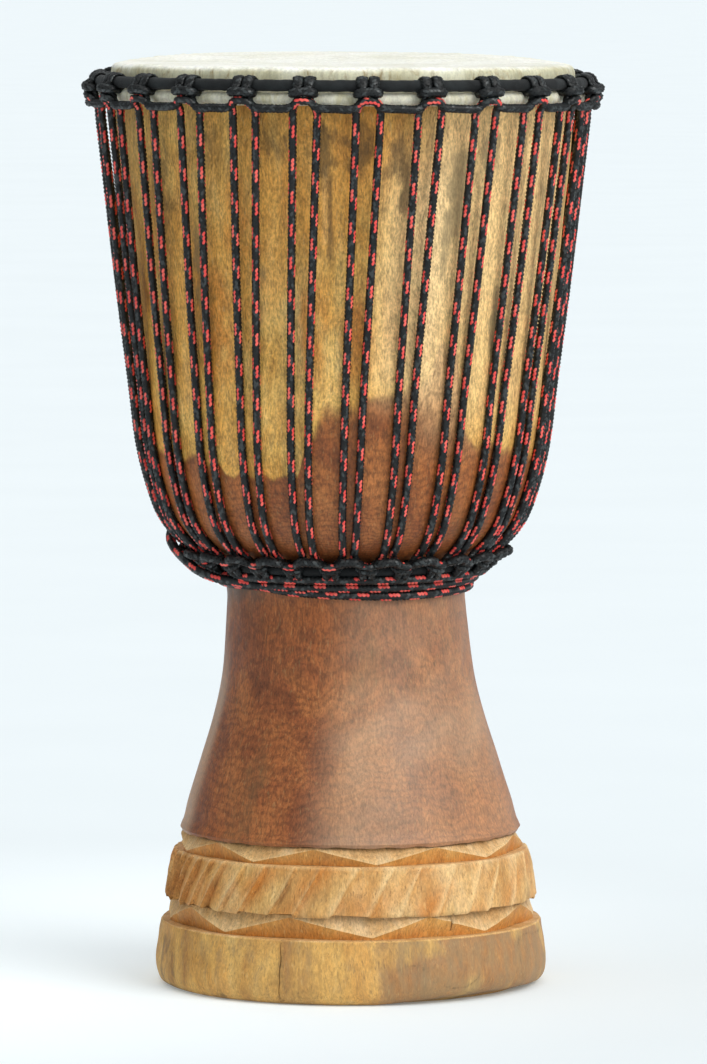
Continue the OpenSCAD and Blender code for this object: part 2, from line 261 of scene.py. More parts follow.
def wood_material():
    t = Tree("carved_wood")
    co = t.node("TexCoord").outputs["Object"]
    # Grain runs up the drum and wanders
    wander = t.node("TexNoise", Vector=t.scaled(co, (1, 1, 0.5)), Scale=22.0, Detail=2.0)
    off = t.node("VectorMath")
    off.operation = "MULTIPLY_ADD"
    t.put(off.inputs[0], wander.outputs["Color"])
    off.inputs[1].default_value = (0.014, 0.014, 0.014)
    t.put(off.inputs[2], co)
    v = off.outputs[0]
    fine = t.noise(t.scaled(v, (1, 1, 0.42)), 860.0, 3.0, 0.66)
    fibre = t.noise(t.scaled(v, (1, 1, 0.24)), 420.0, 3.0, 0.6)
    broad = t.noise(t.scaled(v, (1, 1, 0.2)), 70.0, 3.0, 0.58)
    mottle = t.noise(t.scaled(co, (1, 1, 0.6)), 34.0, 4.0, 0.62, 0.8)
    blotch = t.noise(t.scaled(co, (1, 1, 0.5)), 9.0, 3.0, 0.55, 0.3)
    hue = t.noise(t.scaled(co, (1, 1, 0.45)), 17.0, 3.0, 0.6, 0.4)
    pores = t.step(t.noise(t.scaled(v, (1, 1, 0.16)), 1150.0, 2.0, 0.5), 0.58, 0.70)
    pale = t.step(t.noise(t.scaled(v, (1, 1, 0.2)), 700.0, 2.0, 0.5), 0.6, 0.72)
    wave = t.node("TexWave", Vector=co, Scale=190.0, Distortion=14.0, Detail=4.0)
    wave.inputs["Detail Scale"].default_value = 0.24
    wave.wave_type = "RINGS"
    wave.rings_direction = "Z"
    rings = wave.outputs["Fac"]
    masks = []
    for label in ("mask", "tone"):
        attr = t.t.nodes.new("ShaderNodeVertexColor")
        attr.layer_name = label
        sep = t.node("SeparateColor", Color=attr.outputs["Color"])
        masks += [*sep.outputs, attr.outputs["Alpha"]]
    stain, raw, smudge_and_shade, ochre, soft, dull, painted_highlight, painted_sheen_mask = masks

    # Bare golden wood
    tone = t.math("ADD", t.math("MULTIPLY", blotch, 0.36), t.math("MULTIPLY", broad, 0.36))
    tone = t.math("ADD", tone, t.math("MULTIPLY", mottle, 0.28))
    gold = t.ramp(
        tone,
        (0.36, srgb(142, 94, 38, WOOD)),
        (0.45, srgb(186, 140, 64, WOOD)),
        (0.52, srgb(208, 166, 86, WOOD)),
        (0.59, srgb(220, 184, 108, WOOD)),
        (0.68, srgb(232, 204, 138, WOOD)),
    )
    gold = t.mix(t.math("MULTIPLY", t.step(hue, 0.48, 0.64), 0.5), gold, srgb(204, 144, 62, WOOD))
    gold = t.mix(t.math("MULTIPLY", t.step(hue, 0.46, 0.3), 0.35), gold, srgb(168, 142, 84, WOOD))
    # Where it was oiled and stained red-brown
    tone2 = t.math("ADD", t.math("MULTIPLY", mottle, 0.6), t.math("MULTIPLY", blotch, 0.4))
    red = t.ramp(
        tone2,
        (0.34, srgb(106, 56, 28, WOOD)),
        (0.45, srgb(125, 69, 35, WOOD)),
        (0.54, srgb(142, 84, 43, WOOD)),
        (0.66, srgb(160, 101, 55, WOOD)),
    )
    red = t.mix(t.math("MULTIPLY", t.step(hue, 0.5, 0.7), 0.45), red, srgb(160, 92, 42, WOOD))
    # Freshly cut facets
    bare = t.ramp(
        t.math("ADD", t.math("MULTIPLY", broad, 0.55), t.math("MULTIPLY", mottle, 0.45)),
        (0.34, srgb(178, 132, 76, WOOD)),
        (0.48, srgb(196, 156, 104, WOOD)),
        (0.62, srgb(208, 176, 132, WOOD)),
    )
    edge = t.math("ADD", stain, t.math("MULTIPLY", t.math("SUBTRACT", broad, 0.5), 0.34))
    edge = t.math("ADD", edge, t.math("MULTIPLY", t.math("SUBTRACT", mottle, 0.5), 0.3))
    stained = t.step(edge, 0.38, 0.62)
    colour = t.mix(stained, gold, red)
    # A darker line where the stain ends
    rim = t.math("MULTIPLY", t.step(edge, 0.42, 0.54), t.math("SUBTRACT", 1.0, t.step(edge, 0.54, 0.8)))
    colour = t.mix(t.math("MULTIPLY", rim, 0.28), colour, srgb(96, 56, 30))
    stroke = t.noise(t.scaled(v, (1, 1, 0.35)), 110.0, 5.0, 0.68)
    browned = t.math("ADD", soft, t.math("MULTIPLY", t.math("SUBTRACT", stroke, 0.5), 1.2))
    browned = t.math("ADD", t.math("MULTIPLY", t.math("MULTIPLY", t.step(browned, 0.25, 0.75), t.step(soft, 0.0, 0.3)), 0.5), t.math("MULTIPLY", soft, 0.3), clamp=True)
    colour = t.mix(browned, colour, red)
    colour = t.mix(raw, colour, bare)
    colour = t.mix(t.math("MULTIPLY", ochre, t.ramp(mottle, (0.3, grey(0.55)), (0.6, grey(1.0)))), colour, srgb(178, 108, 36, WOOD))
    # Painted highlight: light wood on the carved ridges and ledges, and on parts of the bowl's front and right.
    colour = t.mix(painted_highlight, colour, srgb(228, 196, 142, WOOD))
    # Growth rings, fibres, pores and grey weathering
    ringed = t.mix(stained, grey(0.12), grey(0.7))
    colour = t.mix(ringed, colour, t.mix(1.0, colour, t.ramp(rings, (0.1, grey(0.74)), (0.5, grey(1.06))), "MULTIPLY"))
    grain = t.math("ADD", t.math("MULTIPLY", fine, 0.6), t.math("MULTIPLY", fibre, 0.4))
    # The foot is rubbed smoother than the bowl
    height_up = t.node("SeparateXYZ", Vector=co).outputs[2]
    grainy = t.math("ADD", 0.56, t.math("MULTIPLY", t.step(height_up, 0.098, 0.106), 0.44))
    colour = t.mix(grainy, colour, t.mix(1.0, colour, t.ramp(grain, (0.38, grey(0.58)), (0.5, grey(0.98)), (0.6, grey(1.34))), "MULTIPLY"))
    colour = t.mix(t.math("MULTIPLY", pores, 0.42), colour, srgb(84, 54, 26))
    colour = t.mix(t.math("MULTIPLY", pale, t.mix(stained, grey(0.22), grey(0.1))), colour, srgb(232, 204, 140))
    grime = t.step(t.noise(t.scaled(co, (1, 1, 0.35)), 21.0, 4.0, 0.62), 0.58, 0.76)
    colour = t.mix(t.math("MULTIPLY", grime, 0.34), colour, srgb(104, 88, 56))
    faded = t.math("ADD", dull, t.math("MULTIPLY", t.math("SUBTRACT", stroke, 0.5), 1.1))
    faded = t.math("ADD", t.math("MULTIPLY", t.math("MULTIPLY", t.step(faded, 0.2, 0.6), t.step(dull, 0.0, 0.3)), 0.5), t.math("MULTIPLY", dull, 0.25), clamp=True)
    colour = t.mix(faded, colour, srgb(132, 116, 84))
    # Painted sheen: a pale wash stands in for the stem's sheen and the reflection along its left edge, and lightens the
    # foot away from its left.
    painted_sheen = t.math("MULTIPLY", painted_sheen_mask, t.ramp(grain, (0.36, grey(0.75)), (0.6, grey(1.0))))
    colour = t.mix(painted_sheen, colour, srgb(202, 178, 148))
    # This mask darkens real smudges and stains, and also paints shade in corners, slits, under the stem's lip and on
    # its left side.
    speck = t.noise(t.scaled(v, (1, 1, 0.4)), 230.0, 5.0, 0.72)
    mixed = t.math("ADD", t.math("MULTIPLY", stroke, 0.45), t.math("MULTIPLY", speck, 0.55))
    dark = t.math("ADD", smudge_and_shade, t.math("MULTIPLY", t.math("SUBTRACT", mixed, 0.5), 2.6))
    dark = t.math("MULTIPLY", t.step(dark, 0.3, 0.85), t.step(smudge_and_shade, 0.0, 0.5))
    dark = t.math("ADD", t.math("MULTIPLY", dark, 0.54), t.math("MULTIPLY", smudge_and_shade, 0.18), clamp=True)
    colour = t.mix(dark, colour, srgb(64, 50, 32))
    t.put(t.b.inputs["Base Color"], colour)
    rough = t.mix(stained, grey(0.62), grey(0.46))
    rough = t.mix(raw, rough, grey(0.68))
    rough = t.mix(0.3, rough, t.ramp(fibre, (0.3, grey(0.3)), (0.7, grey(0.75))))
    t.put(t.b.inputs["Roughness"], rough)
    height = t.math("ADD", t.math("MULTIPLY", grain, 0.8), t.math("MULTIPLY", broad, 0.5))
    height = t.math("SUBTRACT", height, t.math("MULTIPLY", pores, 0.4))
    t.put(t.b.inputs["Normal"], t.bump(height, 0.3, 0.0007))
    t.b.inputs["Specular IOR Level"].default_value = 0.36
    return t.m


def skin_material():
    t = Tree("goat_skin")
    co = t.node("TexCoord").outputs["Object"]
    cloud = t.noise(co, 18.0, 4.0, 0.6, 0.8)
    pores = t.noise(co, 900.0, 3.0, 0.6)
    veins = t.noise(t.scaled(co, (1, 1, 0.5)), 75.0, 4.0, 0.68, 1.6)
    streak = t.noise(t.scaled(co, (1, 1, 0.2)), 420.0, 3.0, 0.6)
    xyz = t.node("SeparateXYZ", Vector=co)
    # White on top, yellower and darker down the collar
    top = t.step(t.math("ADD", xyz.outputs[2], t.math("MULTIPLY", t.math("SUBTRACT", cloud, 0.5), 0.003)), 0.5975, 0.6008)
    side = t.ramp(cloud, (0.28, srgb(172, 164, 128)), (0.45, srgb(200, 197, 166)), (0.66, srgb(220, 218, 194)))
    white = t.ramp(cloud, (0.28, srgb(226, 224, 204)), (0.5, srgb(243, 242, 230)), (0.7, srgb(250, 249, 242)))
    colour = t.mix(top, side, white)
    brown = t.math("MULTIPLY", t.step(veins, 0.5, 0.7), t.math("SUBTRACT", 0.85, t.math("MULTIPLY", top, 0.75)))
    colour = t.mix(brown, colour, srgb(150, 128, 82))
    # Painted light: the skin rolled round the hoop is lightened.
    roll_painted_light = t.math("SUBTRACT", 1.0, t.step(xyz.outputs[2], 0.5845, 0.5875))
    colour = t.mix(t.math("MULTIPLY", roll_painted_light, 0.6), colour, t.ramp(veins, (0.36, srgb(206, 198, 160)), (0.56, srgb(246, 244, 228))))
    colour = t.mix(1.0, colour, t.ramp(t.math("ADD", t.math("MULTIPLY", streak, 0.6), t.math("MULTIPLY", pores, 0.4)), (0.36, grey(0.8)), (0.6, grey(1.1))), "MULTIPLY")
    t.put(t.b.inputs["Base Color"], colour)
    t.put(t.b.inputs["Roughness"], t.ramp(cloud, (0.3, grey(0.5)), (0.7, grey(0.66))))
    t.b.inputs["Subsurface Weight"].default_value = 0.12
    t.b.inputs["Subsurface Radius"].default_value = (1.0, 0.7, 0.4)
    t.b.inputs["Subsurface Scale"].default_value = 0.003
    t.put(t.b.inputs["Normal"], t.bump(t.math("ADD", t.math("MULTIPLY", streak, 0.6), veins), 0.4, 0.0008))
    return t.m


def rope_material(name, colour, rough=0.42, sheen=0.0, tint=(1, 1, 1), gloss=0.4):
    """One yarn of the braid. Its weave is real geometry; the fibres are bump."""
    t = Tree(name)
    co = t.node("TexCoord").outputs["Object"]
    t.b.inputs["Base Color"].default_value = (*colour, 1)
    t.put(t.b.inputs["Roughness"], t.ramp(t.noise(co, 700.0, 2.0), (0.3, grey(rough - 0.08)), (0.7, grey(rough + 0.12))))
    if sheen:
        t.b.inputs["Sheen Weight"].default_value = sheen
        t.b.inputs["Sheen Roughness"].default_value = 0.4
        t.b.inputs["Sheen Tint"].default_value = (*tint, 1)
    t.b.inputs["Specular IOR Level"].default_value = gloss
    t.put(t.b.inputs["Normal"], t.bump(t.noise(co, 2600.0, 2.0), 0.3, 0.0002))
    return t.m


def cloth_material():
    t = Tree("ring_cloth")
    co = t.node("TexCoord").outputs["Object"]
    fuzz = t.noise(co, 1500.0, 3.0)
    worn = t.noise(co, 70.0, 3.0, 0.6)
    t.put(t.b.inputs["Base Color"], t.ramp(worn, (0.35, srgb(16, 18, 19)), (0.7, srgb(34, 38, 39))))
    t.put(t.b.inputs["Roughness"], t.ramp(fuzz, (0.3, grey(0.7)), (0.7, grey(0.95))))
    t.b.inputs["Sheen Weight"].default_value = 0.06
    t.b.inputs["Specular IOR Level"].default_value = 0.3
    t.put(t.b.inputs["Normal"], t.bump(fuzz, 0.7, 0.0003))
    return t.m


def steel_material():
    t = Tree("ring_steel")
    co = t.node("TexCoord").outputs["Object"]
    scale = t.noise(co, 220.0, 4.0, 0.6)
    t.put(t.b.inputs["Base Color"], t.ramp(scale, (0.35, srgb(96, 94, 92)), (0.7, srgb(150, 148, 146))))
    t.b.inputs["Metallic"].default_value = 1.0
    t.put(t.b.inputs["Roughness"], t.ramp(scale, (0.3, grey(0.32)), (0.7, grey(0.6))))
    t.put(t.b.inputs["Normal"], t.bump(scale, 0.3, 0.0003))
    return t.m


WOOD_MAT = wood_material()
SKIN_MAT = skin_material()
CLOTH_MAT = cloth_material()
STEEL_MAT = steel_material()
BLACKS = [
    rope_material("yarn_black_a", (0.0050, 0.0060, 0.0064), gloss=0.32),
    rope_material("yarn_black_b", (0.008, 0.0096, 0.0102), gloss=0.34),
    rope_material("yarn_black_c", (0.021, 0.027, 0.028), 0.34, 0.0, (1, 1, 1), 0.6),
]
REDS = [
    rope_material("yarn_red_a", (0.84, 0.070, 0.058), 0.4, 0.06, (1, 0.6, 0.5), 0.5),
    rope_material("yarn_red_b", (0.93, 0.130, 0.098), 0.44, 0.1, (1, 0.7, 0.6), 0.55),
]
CORE = rope_material("rope_core", (0.003, 0.0032, 0.0034), 0.9, 0.0, (1, 1, 1), 0.1)


# ---------------------------------------------------------------- camera, first of all
cam = bpy.data.cameras.new("camera")
cam.sensor_width = 36.0
cam.lens = 253.9
cam.clip_start, cam.clip_end = 0.1, 400.0
eye = bpy.data.objects.new("camera", cam)
bpy.context.scene.collection.objects.link(eye)
eye.location = (0.0046, -4.89, 0.690)
eye.rotation_euler = (math.pi / 2 - math.atan2(0.690 - 0.295, 4.89), 0, 0)
bpy.context.scene.camera = eye


# ---------------------------------------------------------------- shell
FOOT = [(118.9, 0), (123.4, 1.6), (126.3, 5.5), (127.6, 10.5), (127.9, 16), (126.7, 27), (125.0, 38), (124.4, 41.3), (123.7, 42)]
STEM = [
    (110.6, 100.1), (111.5, 100.8), (111.6, 102.5), (109.4, 107), (106.1, 120), (98, 146), (89.8, 172), (83.2, 198),
    (79.9, 224), (77.6, 247), (77.3, 256), (78.6, 264), (82, 272.5), (85.4, 278.6), (90, 282.6), (97, 286.6),
    (105, 293), (113.6, 303), (120, 316.5), (126.2, 335.5), (130.3, 355), (133.8, 381), (137.2, 420), (142.3, 480),
    (146.9, 530), (149, 556), (149.3, 575), (149.3, 594), (148.5, 597.4), (146.3, 599.2), (142.3, 599.8),
]
HOLLOW = [
    (138.3, 598.5), (135.7, 593), (135.3, 581), (133.3, 550), (128.3, 480), (122.3, 410), (116.3, 360), (104, 325),
    (90, 302), (72, 282), (61, 268), (58, 255), (59, 235), (66, 190), (76, 140), (88, 90), (96, 45), (99, 10), (100, 0.6),
]
Z_FT, Z_FB, Z_FL, Z_SB = 42.0, 57.0, 88.5, 100.0
PEAKS_HIGH = [-51, -12.3, 29.8, 74, 112, 150, 190, 230, 269]
DIPS_HIGH = [-33.8, 8.8, 51.3, 93, 131, 170, 210, 250, 288]
PEAKS_LOW = [-61, -19.4, 25.2, 68.2, 106, 144, 183, 222, 260]
DIPS_LOW = [-42.8, 6.6, 46.4, 87, 125, 163, 203, 241, 279]
LEAN = math.tan(30 * D2R)


def flute_columns():
    """Directions of the shell's columns, 12 to a flute, with each one's place across its flute and the flute's number."""
    at = [-180, -140, -100, -72, -55, -40, -25, -5, 20, 60, 90, 130, 180]
    wide = [15, 14, 13, 12, 14, 17, 20, 22, 23, 22, 19, 16, 15]
    phi = np.linspace(-180, 180, 3601)
    rate = 1 / (np.interp(phi, at, wide) / 119 / D2R)
    total = np.concatenate([[0], np.cumsum((rate[1:] + rate[:-1]) / 2 * 0.1)])
    count = int(round(total[-1]))
    total *= count / total[-1]
    u = np.array([0, 0.035, 0.07, 0.12, 0.19, 0.28, 0.38, 0.49, 0.60, 0.71, 0.82, 0.92])
    k = np.arange(count)
    r = np.random.default_rng(5)
    jitter = np.concatenate([[0], r.uniform(-0.12, 0.12, count - 1), [0]])
    starts = np.arange(count + 1) + jitter
    marks = starts[:-1, None] + (starts[1:] - starts[:-1])[:, None] * u[None, :]
    return np.interp(marks.ravel(), total, phi), np.tile(u, count), np.repeat(k, len(u)), count


def zigzag(phi, peaks, dips):
    """Height of the zigzag's crest, from 0 at a band's lower edge to 1 at its upper edge."""
    xs = np.append(np.ravel(np.column_stack([peaks, dips])), peaks[0] + 360)
    ys = np.where(np.arange(len(xs)) % 2 == 0, 0.95, 0.04)
    q = (phi - xs[0]) % 360 + xs[0]
    return np.interp(q, xs, ys)


def stain_edge(phi):
    """Height at which the red stain ends on the bowl, and over how many mm it fades."""
    at = [-180, -150, -110, -75, -50, -38, -36, -12.7, -10.5, -6, 0, 4, 5, 15.8, 18, 24, 26.5, 32, 34, 38, 46, 60, 90, 130, 180]
    up = [362, 350, 366, 352, 349, 346, 340, 339, 358, 380, 382, 384, 392, 390, 396, 402, 424, 424, 380, 363, 357, 352, 348, 366, 362]
    fade = [22, 24, 22, 18, 14, 10, 7, 7, 16, 34, 34, 26, 16, 18, 24, 24, 20, 20, 22, 14, 16, 22, 24, 24, 22]
    w = around(phi, 0)
    return np.interp(w, at, up), np.interp(w, at, fade)


# Weathered places on the bowl: phi, z, half widths in degrees and mm, and how much of which mask
PATCHES = [
    (-4.8, 546, 3.8, 34, 1.0, "smudge_and_shade"), (-3.4, 508, 1.5, 60, 0.85, "smudge_and_shade"), (-6.4, 500, 1.2, 50, 0.5, "smudge_and_shade"), (-1.6, 470, 1.0, 40, 0.4, "smudge_and_shade"),
    (4.6, 550, 5.4, 28, 0.8, "smudge_and_shade"), (13.2, 544, 4.8, 24, 0.75, "smudge_and_shade"), (16.2, 524, 3.8, 38, 0.85, "smudge_and_shade"), (10.2, 520, 1.4, 26, 0.5, "smudge_and_shade"),
    (9.2, 486, 1.4, 34, 0.4, "smudge_and_shade"), (22.5, 470, 1.2, 28, 0.55, "smudge_and_shade"), (23.5, 548, 3.6, 32, 0.6, "smudge_and_shade"), (30, 480, 1.2, 30, 0.45, "smudge_and_shade"),
    (30.5, 522, 5.4, 46, 0.85, "dull"), (44.5, 438, 3.4, 34, 0.8, "dull"), (27, 486, 1.8, 36, 0.6, "dull"), (40, 545, 5, 24, 0.6, "dull"),
    (-17, 554, 9.5, 22, 0.62, "smudge_and_shade"), (-34, 550, 12, 26, 0.6, "smudge_and_shade"), (-24, 520, 2.4, 48, 0.5, "smudge_and_shade"), (-52, 520, 8, 60, 0.55, "smudge_and_shade"),
    (-40, 470, 3.4, 60, 0.5, "dull"), (-22, 460, 3, 70, 0.45, "dull"), (66, 520, 8, 50, 0.45, "dull"), (54, 400, 5, 34, 0.4, "smudge_and_shade"),
    (-8, 432, 5.4, 46, 0.8, "ochre"), (3.5, 430, 5.6, 50, 0.85, "ochre"), (13.5, 440, 5.2, 44, 0.55, "ochre"), (-36, 440, 8, 60, 0.75, "ochre"),
    (-28, 505, 5, 50, 0.65, "ochre"), (-44, 520, 5, 50, 0.5, "ochre"), (-14, 520, 4, 40, 0.5, "ochre"), (24, 425, 5, 34, 0.4, "ochre"), (-48, 400, 9, 36, 0.45, "ochre"), (-16, 376, 9, 26, 0.35, "ochre"),
    (110, 500, 14, 60, 0.7, "smudge_and_shade"), (150, 440, 16, 70, 0.6, "dull"), (-150, 520, 14, 50, 0.7, "smudge_and_shade"), (-110, 430, 14, 60, 0.5, "ochre"), (185, 540, 16, 30, 0.7, "smudge_and_shade"),
]


def build_shell():
    col, u, flute, count = flute_columns()
    n = len(col)
    rng = np.random.default_rng(11)
    own = rng.uniform(0.75, 1.2, count)[flute]
    rows = []

    def row(phi, r, z, stain=0.0, raw=0.0, smudge_and_shade=0.0, ochre=0.0, kind="out", soft=0.0, dull=0.0, painted_highlight=0.0, pale=0.0):
        one = [np.broadcast_to(np.asarray(x, float), (n,)).copy() for x in (phi, r, z, stain, raw, smudge_and_shade, ochre, soft, dull, painted_highlight, pale)]
        rows.append((kind, one))

    low = col - (Z_FL - Z_FB) / 2 * LEAN / 119 / D2R  # columns under the flutes
    high = col + (Z_FL - Z_FB) / 2 * LEAN / 116 / D2R  # and above them

    # Foot band. Its sole is hollow-worn on the right.
    for r, z in profile(FOOT, 1.5):
        w = around(low, 0)
        lift = np.interp(w, [-180, -60, 8, 26, 46, 66, 84, 140, 180], [0.8, 0.1, 0.1, 2.6, 3.6, 2.4, 0.8, 1.0, 0.8])
        zz = z + lift * np.clip(1 - z / 26, 0, 1)
        rr = r + 0.4 * ripple(low, zz, 3, 7, 60) + 0.2 * ripple(low, zz, 4, 30, 12) - 0.6 * smooth((3 - z) / 3) * (
            0.5 + 0.5 * ripple(low, 0, 6, 60, 900)
        )
        right = smooth((w - 4) / 16) * smooth((100 - w) / 25)
        back = smooth((np.abs(w) - 96) / 20)
        patch = ripple(low, zz, 9, 22, 30)
        soft = np.clip(0.2 + right * (0.74 + 0.6 * patch) + back * (0.25 + 0.4 * patch), 0, 0.9)
        soft = np.maximum(soft, 0.5 * smooth(1 - np.abs(w + 33) / 9) * (0.6 + 0.4 * patch))
        grey_left = smooth(1 - np.abs(w + 70) / 20) * smooth((46 - z) / 16) * 0.55
        grey_left = np.maximum(grey_left, smooth(1 - np.abs(w + 42) / 7) * smooth((22 - z) / 18) * 0.35)
        vein = smooth(1 - np.abs(ripple(low, zz * 0.6, 10, 14, 30)) / 0.16) * (0.16 + 0.34 * right)
        sole = smooth((5.5 - z) / 5.5) * 0.4
        edge = smooth((z - 41.1) / 0.5)
        keep = 1 - edge
        # pale here is painted light: the foot is a little lighter away from its left side.
        row(low, rr, zz, 0.1 * keep, 0.85 * edge, np.clip(np.maximum(grey_left, vein) + sole, 0, 0.85) * keep, 0.2 * keep, soft=soft * keep, dull=(0.26 + 0.2 * right) * keep, pale=0.08 * keep * smooth((w + 60) / 40))

    def band(phi, z0, z1, r0, r1, peaks, dips, seed, top_shade, depth=5.4):
        s = zigzag(phi, peaks, dips)
        zr = z0 + (z1 - z0) * (0.04 + 0.92 * s)
        rl, rr_, rh = r0 - depth * s, r0 + (r1 - r0) * s, r1 - depth * (1 - s)
        near = 0.25 * ripple(phi, 0, seed + 1, 70, 900)
        w = around(phi, 0)
        left = smooth((-20 - w) / 25)
        # Ledge under the band, then painted shade as a dark line in its corner
        row(phi, rl + 0.5 + near, z0 + 0.02, 0.1, 0.9, 0.0, 0.15)
        row(phi, rl + 0.12 + near, z0 + 0.06, 0.2, 0.3, 0.75, 0.3)
        # Painted shade also darkens the lowest part of each lower facet.
        for t in (0.03, 0.25, 0.5, 0.75, 1.0):
            z = z0 + (zr - z0) * t + 0.15
            r = rl + (rr_ - rl) * t - 0.9 * t * (1 - t) + near + 0.16 * ripple(phi, z, seed + 2, 60, 9)
            worn = 0.5 + 0.5 * ripple(phi, z, seed + 4, 30, 30)
            row(phi, r, z, 0.15, 0.25, smooth((0.3 - t) / 0.3) * 0.35, 0.95 - 0.35 * t, soft=0.35 * worn + 0.15 * left, dull=0.12)
        # Upper facets; the first row, along the ridge, gets a painted highlight.
        for t in (0.0, 0.3, 0.6, 0.85, 1.0):
            z = zr + (z1 - zr) * t + 0.15
            r = rr_ + (rh - rr_) * t - 1.0 * t * (1 - t) + near + 0.14 * ripple(phi, z, seed + 3, 60, 9) - (0.05 if t == 0 else 0)
            # Painted shade along the band's top, under the lip of the band above.
            lip_shade = smooth((z - (z1 - 2.2)) / 2.2) * top_shade
            row(phi, r, z + (0.06 if t == 0 else 0), 0.1, 0.97 - 0.15 * left, lip_shade, 0.3 * lip_shade, dull=0.14, soft=0.12 * left, painted_highlight=0.35 if t == 0 else 0.0)
        return s

    s_low = band(low, Z_FT, Z_FB, 119.6, 118.3, PEAKS_LOW, DIPS_LOW, 21, 0.45)

    # Underside of the fluted band: a slit under each flute, closed between flutes, painted dark as shade
    shut = np.clip(smooth((0.09 - u) / 0.09) + smooth((u - 0.95) / 0.05), 0, 1)
    bottom = Z_FB + 0.15 + rng.uniform(-1.0, 1.0, count)[flute] + rng.uniform(-1.1, 1.1, count)[flute] * (u - 0.5)
    row(low, 115.6 + 1.8 * shut, bottom + 1.1 - 0.6 * shut, 0.2, 0.2, 1.0 - 0.3 * shut, 0.3)
    row(low, 118.6 + 0.4 * shut, bottom + 0.5, 0.2, 0.2, 1.0 - 0.4 * shut, 0.4)

    # Flutes
    w = around(col, 0)
    crisp = np.interp(w, [-180, -120, -75, -50, -30, -6, 12, 60, 100, 180], [2.4, 2.6, 3.6, 3.5, 2.9, 1.9, 1.2, 1.0, 2.0, 2.4])
    deep = crisp * own
    across = np.where(u < 0.06, u / 0.06, ((1 - u) / 0.94) ** 0.8)
    zs = np.concatenate([[0, 0.4, 1.1], np.linspace(2.4, 29.0, 19), [30.2, 31.0, 31.5]])
    for h in zs:
        z = np.where(h < 0.2, bottom, np.maximum(Z_FB + h, bottom + 0.3 * (h + 0.2))) if h < 1.2 else np.full(n, Z_FB + h)
        base = np.interp(Z_FB + h, [57, 57.6, 64, 74, 84, 87.6, 88.5], [120.7, 121.4, 120.8, 119.1, 117.0, 115.8, 114.6])
        phi = col + (Z_FB + h - (Z_FB + Z_FL) / 2) * LEAN / 118 / D2R + 0.25 * ripple(0 * col + flute * 7.0, Z_FB + h, 47, 12, 30)
        fade = 0.7 + 0.3 * smooth((31.5 - h) / 6)
        cut = deep * across * fade * (1 + 0.22 * ripple(phi, z, 41, 40, 26))
        r = base - cut + 0.6 + 0.35 * ripple(phi, z, 42, 12, 36) + 0.16 * ripple(phi, z, 43, 60, 10)
        wear = smooth((w + 20) / 40) * smooth((110 - w) / 30)
        groove = smooth((0.3 - np.abs(u - 0.06)) / 0.3) * (1 - 0.8 * wear)
        # Painted highlight along each flute's edge, and on the ledge at the flutes' top.
        bright = smooth((u - 0.78) / 0.1) * (0.25 + 0.3 * wear)
        top = smooth((h - 29.6) / 1.2)
        # Darker towards the flutes' lower edge.
        low_edge_dark = smooth((1.6 - h) / 1.6) * 0.35
        mott = 0.5 + 0.5 * ripple(phi, z, 45, 30, 25)
        row(
            phi, r, z, 0.12, 0.5 + 0.25 * wear + 0.25 * top, np.clip(0.3 * groove * (0.55 + 0.6 * mott), 0, 0.75) * (1 - top) + low_edge_dark,
            np.clip(0.45 + 0.4 * ripple(phi, z, 46, 24, 24) - 0.2 * wear, 0, 1), soft=np.clip(0.45 * groove + 0.3 * mott - 0.12, 0, 1) * (1 - top),
            dull=0.12 + 0.1 * wear, painted_highlight=np.clip(bright + 0.35 * top, 0, 0.7) * (0.5 + 0.6 * mott),
        )

    # Ledge above the flutes, and the second zigzag band
    s_high = band(high, Z_FL, Z_SB, 112.6, 110.0, PEAKS_HIGH, DIPS_HIGH, 51, 0.85, 4.9)
    # Undercut under the stem's lip, painted dark as shade.
    row(high, np.minimum(110.0 - 4.9 * (1 - s_high), 107.0), Z_SB + 0.5, 0.7, 0.0, 1.0, 0.2)

    # Stem and bowl
    for r, z in profile(STEM, 2.8):
        lip = smooth((104 - z) / 4)
        rr = r + (0.5 * ripple(high, z, 61, 5, 120) + 0.14 * ripple(high, z, 62, 26, 40)) * smooth((598 - z) / 30) - 0.5 * lip
        zz = z + (0.4 * ripple(high, 0, 63, 40, 900) + 0.15) * lip * (z < 101.8)
        zb, fade = stain_edge(high)
        ragged = 2.0 * ripple(high, 0, 64, 60, 900) + 1.0 * ripple(high, 0, 65, 160, 900)
        st = np.clip(0.5 + (zb + ragged - z) / (2 * fade), 0, 1)
        masks = {"smudge_and_shade": np.zeros(n), "ochre": np.full(n, 0.16 * smooth((z - 300) / 60)), "dull": np.zeros(n)}
        for c, at, wide, tall, much, kind in PATCHES:
            if abs(z - at) < tall:
                rough_edge = 1 + 0.45 * ripple(high, z, 66 + int(at) % 7, 90, 16)
                here = much * smooth(1.25 * (1 - np.abs(around(high, c)) / wide / rough_edge)) * smooth(1.3 * (1 - abs(z - at) / tall))
                masks[kind] = np.maximum(masks[kind], here)
        q = around(high, 0)
        for c, wide, z0, z1, much in ((-5.4, 0.35, 482, 545, 0.7), (-3.0, 0.3, 500, 550, 0.4), (9.8, 0.4, 520, 536, 0.7), (10.9, 0.3, 505, 516, 0.6), (14.8, 0.35, 548, 560, 0.6)):
            masks["smudge_and_shade"] = np.maximum(masks["smudge_and_shade"], much * smooth(1.6 * (1 - np.abs(around(q, c + 0.01 * (z - z0))) / wide)) * (z0 < z < z1))
        gouge_and_highlight = 0.6 * smooth(1 - np.abs(around(q, -4.7)) / 0.5) * (488 < z < 540)
        # Painted shade on the left of the neck and lower bowl.
        left_shade = smooth((-22 - q) / 40) * smooth((330 - z) / 60) * smooth((z - 230) / 40)
        oiled = smooth((300 - z) / 30)
